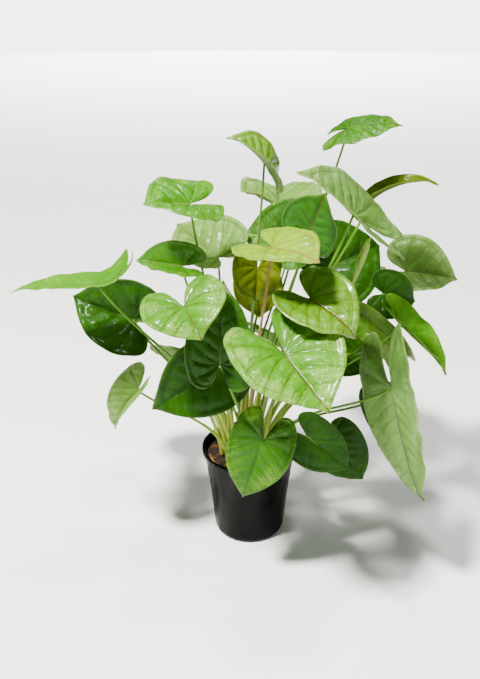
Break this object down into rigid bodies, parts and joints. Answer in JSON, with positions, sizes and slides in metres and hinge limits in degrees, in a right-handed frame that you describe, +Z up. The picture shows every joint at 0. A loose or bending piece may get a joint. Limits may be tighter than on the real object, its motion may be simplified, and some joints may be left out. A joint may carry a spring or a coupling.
{
  "type": "potted arrowhead plant",
  "caption": "Bushy arrowhead plant with glossy heart-shaped leaves on long thin stems, rooted in soil in a small black nursery pot.",
  "frame": {"origin": "centre of the pot's flat underside", "axes": "+Z up along the pot's axis, -Y towards the side that the picture shows, +X to that view's right"},
  "size_m": [0.469, 0.3709, 0.4814],
  "materials": {
    "leaf_light": "satin",
    "leaf_mid": "gloss",
    "leaf_dark": "gloss",
    "leaf_grey": "satin",
    "leaf_yellow": "gloss",
    "pot_plastic": "satin",
    "potting_soil": "matte",
    "root_tan": "matte"
  },
  "bodies": {
    "root": {"leaf_top_right": "leaf_mid", "leaf_high_right": "leaf_grey", "leaf_top_left": "leaf_yellow", "leaf_back_top": "leaf_grey", "leaf_back_stripe": "leaf_grey", "leaf_glossy_dark": "leaf_dark", "leaf_yellow_centre": "leaf_yellow", "leaf_olive_under": "leaf_yellow", "leaf_left_high": "leaf_light", "leaf_back_left": "leaf_grey", "leaf_left_mid": "leaf_mid", "leaf_far_left": "leaf_light", "leaf_left_round": "leaf_dark", "leaf_left_front": "leaf_light", "leaf_centre_dark": "leaf_dark", "leaf_left_low": "leaf_dark", "leaf_left_small": "leaf_light", "leaf_front_large": "leaf_light", "leaf_front_low": "leaf_mid", "leaf_right_low": "leaf_dark", "leaf_right_low_behind": "leaf_dark", "leaf_right_hanging": "leaf_grey", "leaf_right_light": "leaf_light", "leaf_right_round": "leaf_dark", "leaf_right_back": "leaf_grey", "leaf_dark_back": "leaf_dark", "leaf_right_centre": "leaf_yellow", "leaf_right_narrow": "leaf_grey", "leaf_right_behind": "leaf_dark", "leaf_inner_light": "leaf_light", "leaf_inner_dark": "leaf_dark", "leaf_right_yellow": "leaf_yellow", "leaf_olive_low": "leaf_yellow", "leaf_rear_low_left": "leaf_mid", "leaf_rear_middle": "leaf_light", "leaf_rear_right": "leaf_mid", "leaf_rear_high": "leaf_light", "leaf_rear_left": "leaf_dark", "leaf_rear_right_low": "leaf_grey", "rolled_leaf": "leaf_grey", "pot": "pot_plastic", "soil": "potting_soil", "surface_root_long": "root_tan", "surface_root_short": "root_tan"}
  },
  "joints": []
}
